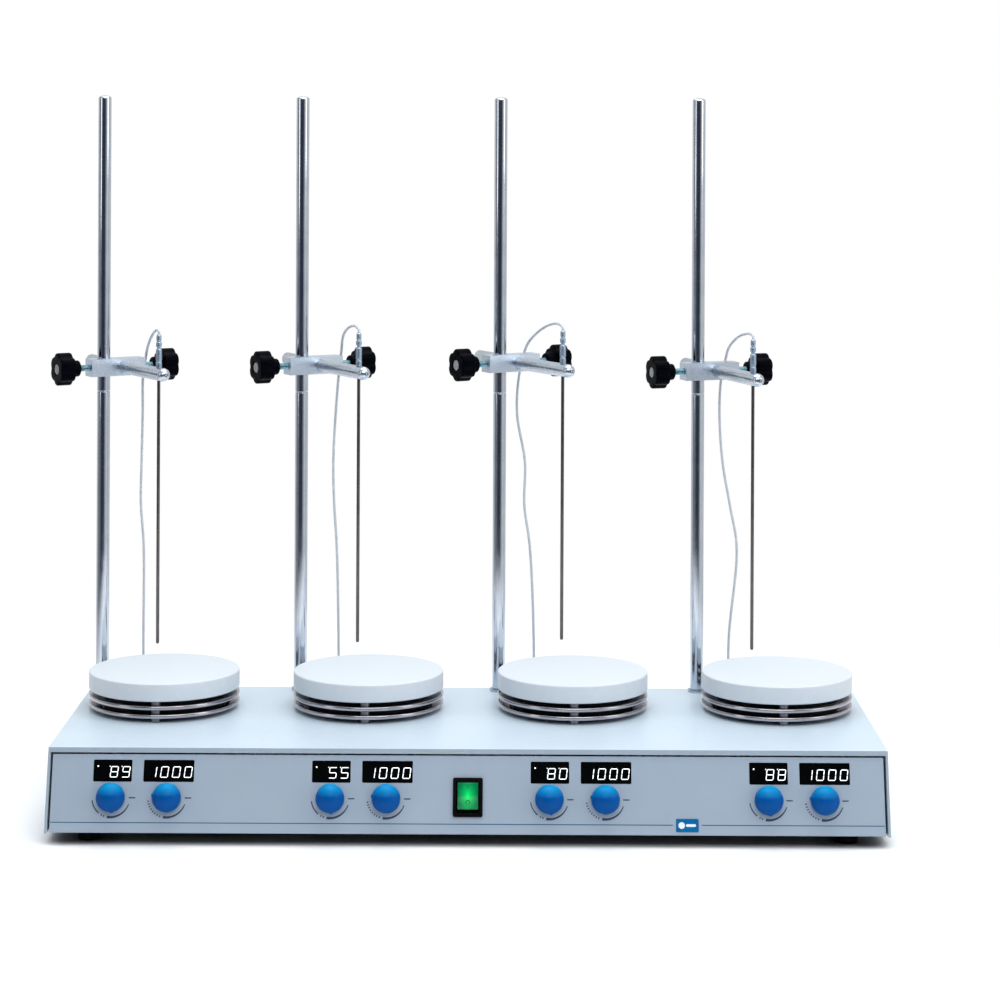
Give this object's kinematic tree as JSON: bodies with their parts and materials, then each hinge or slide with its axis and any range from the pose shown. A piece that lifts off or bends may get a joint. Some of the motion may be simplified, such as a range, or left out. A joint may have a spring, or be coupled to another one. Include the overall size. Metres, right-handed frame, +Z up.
{
  "type": "magnetic stirrer",
  "caption": "Multi-place heating magnetic stirrer: long sloped housing, white round plates, support rods with boss heads, probe arms and cables.",
  "frame": {"origin": "centre of the housing's footprint, on the bench plane under the rubber feet", "axes": "+X to the right seen from the control panel, +Y to the back, +Z up"},
  "size_m": [0.7463, 0.3255, 0.6285],
  "materials": {
    "cover_paint": "satin powder coat",
    "panel_paint": "satin powder coat",
    "tray_steel": "plain zinc plated",
    "foot_rubber": "matt",
    "screw_steel": "zinc plated",
    "plate_ceramic": "white glaze",
    "ring_steel": "turned and polished",
    "spacer_steel": "turned",
    "heater_black": "heat resistant black",
    "socket_steel": "turned",
    "pot_metal": "plated",
    "window_black": "gloss black filter",
    "module_dark": "moulded",
    "board_green": "solder mask",
    "switch_black": "moulded black",
    "rocker_green": "lit translucent green, emissive",
    "motor_metal": "plated can",
    "supply_mixed": "moulded",
    "rod_steel": "polished stainless steel",
    "head_aluminium": "satin anodised",
    "star_black": "moulded black with grey cap",
    "bar_steel": "satin stainless steel",
    "probe_steel": "stainless sheath",
    "cable_grey": "light grey silicone",
    "knob_blue": "gloss blue",
    "magnet_dark": "ferrite and steel"
  },
  "bodies": {
    "housing": {"top_cover": "cover_paint", "front_panel": "panel_paint", "base_tray": "tray_steel", "rubber_feet": "foot_rubber", "cover_screws": "screw_steel", "hot_plates": "plate_ceramic", "heat_shield_rings": "ring_steel", "ring_spacers": "spacer_steel", "heater_elements": "heater_black", "rod_sockets": "socket_steel", "probe_sockets": "socket_steel", "knob_potentiometers": "pot_metal", "display_windows": "window_black", "display_modules": "module_dark", "control_board": "board_green", "switch_body": "switch_black", "power_inlet": "switch_black", "stirrer_motors": "motor_metal", "power_supply": "supply_mixed", "probe_cable_1": "cable_grey", "probe_cable_2": "cable_grey", "probe_cable_3": "cable_grey", "probe_cable_4": "cable_grey"},
    "power_rocker": {"power_rocker": "rocker_green"},
    "support_rod_1": {"support_rod_1": "rod_steel"},
    "support_rod_2": {"support_rod_2": "rod_steel"},
    "support_rod_3": {"support_rod_3": "rod_steel"},
    "support_rod_4": {"support_rod_4": "rod_steel"},
    "boss_head_1": {"boss_head_1": "head_aluminium"},
    "boss_head_2": {"boss_head_2": "head_aluminium"},
    "boss_head_3": {"boss_head_3": "head_aluminium"},
    "boss_head_4": {"boss_head_4": "head_aluminium"},
    "rod_screw_1": {"rod_screw_1": "star_black"},
    "rod_screw_2": {"rod_screw_2": "star_black"},
    "rod_screw_3": {"rod_screw_3": "star_black"},
    "rod_screw_4": {"rod_screw_4": "star_black"},
    "arm_screw_1": {"arm_screw_1": "star_black"},
    "arm_screw_2": {"arm_screw_2": "star_black"},
    "arm_screw_3": {"arm_screw_3": "star_black"},
    "arm_screw_4": {"arm_screw_4": "star_black"},
    "probe_arm_1": {"probe_arm_1": "bar_steel"},
    "probe_arm_2": {"probe_arm_2": "bar_steel"},
    "probe_arm_3": {"probe_arm_3": "bar_steel"},
    "probe_arm_4": {"probe_arm_4": "bar_steel"},
    "probe_1": {"probe_1": "probe_steel"},
    "probe_2": {"probe_2": "probe_steel"},
    "probe_3": {"probe_3": "probe_steel"},
    "probe_4": {"probe_4": "probe_steel"},
    "temp_knob_1": {"temp_knob_1": "knob_blue"},
    "temp_knob_2": {"temp_knob_2": "knob_blue"},
    "temp_knob_3": {"temp_knob_3": "knob_blue"},
    "temp_knob_4": {"temp_knob_4": "knob_blue"},
    "speed_knob_1": {"speed_knob_1": "knob_blue"},
    "speed_knob_2": {"speed_knob_2": "knob_blue"},
    "speed_knob_3": {"speed_knob_3": "knob_blue"},
    "speed_knob_4": {"speed_knob_4": "knob_blue"},
    "drive_magnet_1": {"drive_magnet_1": "magnet_dark"},
    "drive_magnet_2": {"drive_magnet_2": "magnet_dark"},
    "drive_magnet_3": {"drive_magnet_3": "magnet_dark"},
    "drive_magnet_4": {"drive_magnet_4": "magnet_dark"}
  },
  "joints": [
    {"name": "head_height_1", "type": "slide", "parent": "support_rod_1", "child": "boss_head_1", "axis": [0, 0, 1], "range_m": [-0.018, 0.22], "deforming": ["probe_cable_1"]},
    {"name": "head_height_2", "type": "slide", "parent": "support_rod_2", "child": "boss_head_2", "axis": [0, 0, 1], "range_m": [-0.018, 0.22], "deforming": ["probe_cable_2"]},
    {"name": "head_height_3", "type": "slide", "parent": "support_rod_3", "child": "boss_head_3", "axis": [0, 0, 1], "range_m": [-0.018, 0.22], "deforming": ["probe_cable_3"]},
    {"name": "head_height_4", "type": "slide", "parent": "support_rod_4", "child": "boss_head_4", "axis": [0, 0, 1], "range_m": [-0.018, 0.22], "deforming": ["probe_cable_4"]},
    {"name": "rod_swing_1", "type": "hinge", "parent": "housing", "child": "support_rod_1", "pos_m": [-0.343, 0.1185, 0.0772], "axis": [0, 0, 1], "range_deg": [-60, 45]},
    {"name": "rod_swing_2", "type": "hinge", "parent": "housing", "child": "support_rod_2", "pos_m": [-0.159, 0.1185, 0.0772], "axis": [0, 0, 1], "range_deg": [-60, 45]},
    {"name": "rod_swing_3", "type": "hinge", "parent": "housing", "child": "support_rod_3", "pos_m": [0.025, 0.1185, 0.0772], "axis": [0, 0, 1], "range_deg": [-60, 45]},
    {"name": "rod_swing_4", "type": "hinge", "parent": "housing", "child": "support_rod_4", "pos_m": [0.209, 0.1185, 0.0772], "axis": [0, 0, 1], "range_deg": [-60, 45]},
    {"name": "arm_slide_1", "type": "slide", "parent": "boss_head_1", "child": "probe_arm_1", "axis": [0.5299, -0.848, 0], "range_m": [-0.04, 0.04]},
    {"name": "arm_slide_2", "type": "slide", "parent": "boss_head_2", "child": "probe_arm_2", "axis": [0.4924, -0.8704, 0], "range_m": [-0.04, 0.04]},
    {"name": "arm_slide_3", "type": "slide", "parent": "boss_head_3", "child": "probe_arm_3", "axis": [0.5, -0.866, 0], "range_m": [-0.04, 0.04]},
    {"name": "arm_slide_4", "type": "slide", "parent": "boss_head_4", "child": "probe_arm_4", "axis": [0.3338, -0.9426, 0], "range_m": [-0.04, 0.04]},
    {"name": "probe_lift_1", "type": "slide", "parent": "probe_arm_1", "child": "probe_1", "axis": [0, 0, 1], "range_m": [0, 0.07]},
    {"name": "probe_lift_2", "type": "slide", "parent": "probe_arm_2", "child": "probe_2", "axis": [0, 0, 1], "range_m": [0, 0.07]},
    {"name": "probe_lift_3", "type": "slide", "parent": "probe_arm_3", "child": "probe_3", "axis": [0, 0, 1], "range_m": [0, 0.07]},
    {"name": "probe_lift_4", "type": "slide", "parent": "probe_arm_4", "child": "probe_4", "axis": [0, 0, 1], "range_m": [0, 0.07]},
    {"name": "power_rocker_tilt", "type": "hinge", "parent": "housing", "child": "power_rocker", "pos_m": [0, -0.11505, 0.03765], "axis": [1, 0, 0], "range_deg": [0, 14]},
    {"name": "temp_knob_turn_1", "type": "hinge", "parent": "housing", "child": "temp_knob_1", "pos_m": [-0.2995, -0.12027, 0.03771], "axis": [0, -0.9545, 0.2983], "range_deg": [-212, 83]},
    {"name": "temp_knob_turn_2", "type": "hinge", "parent": "housing", "child": "temp_knob_2", "pos_m": [-0.1155, -0.12027, 0.03771], "axis": [0, -0.9545, 0.2983], "range_deg": [-212, 83]},
    {"name": "temp_knob_turn_3", "type": "hinge", "parent": "housing", "child": "temp_knob_3", "pos_m": [0.0685, -0.12027, 0.03771], "axis": [0, -0.9545, 0.2983], "range_deg": [-212, 83]},
    {"name": "temp_knob_turn_4", "type": "hinge", "parent": "housing", "child": "temp_knob_4", "pos_m": [0.2525, -0.12027, 0.03771], "axis": [0, -0.9545, 0.2983], "range_deg": [-212, 83]},
    {"name": "speed_knob_turn_1", "type": "hinge", "parent": "housing", "child": "speed_knob_1", "pos_m": [-0.2525, -0.12027, 0.03771], "axis": [0, -0.9545, 0.2983], "range_deg": [-105, 190]},
    {"name": "speed_knob_turn_2", "type": "hinge", "parent": "housing", "child": "speed_knob_2", "pos_m": [-0.0685, -0.12027, 0.03771], "axis": [0, -0.9545, 0.2983], "range_deg": [-105, 190]},
    {"name": "speed_knob_turn_3", "type": "hinge", "parent": "housing", "child": "speed_knob_3", "pos_m": [0.1155, -0.12027, 0.03771], "axis": [0, -0.9545, 0.2983], "range_deg": [-105, 190]},
    {"name": "speed_knob_turn_4", "type": "hinge", "parent": "housing", "child": "speed_knob_4", "pos_m": [0.2995, -0.12027, 0.03771], "axis": [0, -0.9545, 0.2983], "range_deg": [-105, 190]},
    {"name": "rod_screw_turn_1", "type": "hinge", "parent": "boss_head_1", "child": "rod_screw_1", "pos_m": [-0.343, 0.1185, 0.376], "axis": [-0.848, -0.5299, 0], "range_deg": [0, 360]},
    {"name": "rod_screw_turn_2", "type": "hinge", "parent": "boss_head_2", "child": "rod_screw_2", "pos_m": [-0.159, 0.1185, 0.3785], "axis": [-0.8704, -0.4924, 0], "range_deg": [0, 360]},
    {"name": "rod_screw_turn_3", "type": "hinge", "parent": "boss_head_3", "child": "rod_screw_3", "pos_m": [0.025, 0.1185, 0.3815], "axis": [-0.866, -0.5, 0], "range_deg": [0, 360]},
    {"name": "rod_screw_turn_4", "type": "hinge", "parent": "boss_head_4", "child": "rod_screw_4", "pos_m": [0.209, 0.1185, 0.375], "axis": [-0.9426, -0.3338, 0], "range_deg": [0, 360]},
    {"name": "arm_screw_turn_1", "type": "hinge", "parent": "boss_head_1", "child": "arm_screw_1", "pos_m": [-0.343, 0.1185, 0.376], "axis": [0.848, 0.5299, 0], "range_deg": [0, 360]},
    {"name": "arm_screw_turn_2", "type": "hinge", "parent": "boss_head_2", "child": "arm_screw_2", "pos_m": [-0.159, 0.1185, 0.3785], "axis": [0.8704, 0.4924, 0], "range_deg": [0, 360]},
    {"name": "arm_screw_turn_3", "type": "hinge", "parent": "boss_head_3", "child": "arm_screw_3", "pos_m": [0.025, 0.1185, 0.3815], "axis": [0.866, 0.5, 0], "range_deg": [0, 360]},
    {"name": "arm_screw_turn_4", "type": "hinge", "parent": "boss_head_4", "child": "arm_screw_4", "pos_m": [0.209, 0.1185, 0.375], "axis": [0.9426, 0.3338, 0], "range_deg": [0, 360]},
    {"name": "magnet_spin_1", "type": "hinge", "parent": "housing", "child": "drive_magnet_1", "pos_m": [-0.276, 0.046, 0.06], "axis": [0, 0, 1], "continuous": true},
    {"name": "magnet_spin_2", "type": "hinge", "parent": "housing", "child": "drive_magnet_2", "pos_m": [-0.092, 0.046, 0.06], "axis": [0, 0, 1], "continuous": true},
    {"name": "magnet_spin_3", "type": "hinge", "parent": "housing", "child": "drive_magnet_3", "pos_m": [0.092, 0.046, 0.06], "axis": [0, 0, 1], "continuous": true},
    {"name": "magnet_spin_4", "type": "hinge", "parent": "housing", "child": "drive_magnet_4", "pos_m": [0.276, 0.046, 0.06], "axis": [0, 0, 1], "continuous": true}
  ]
}
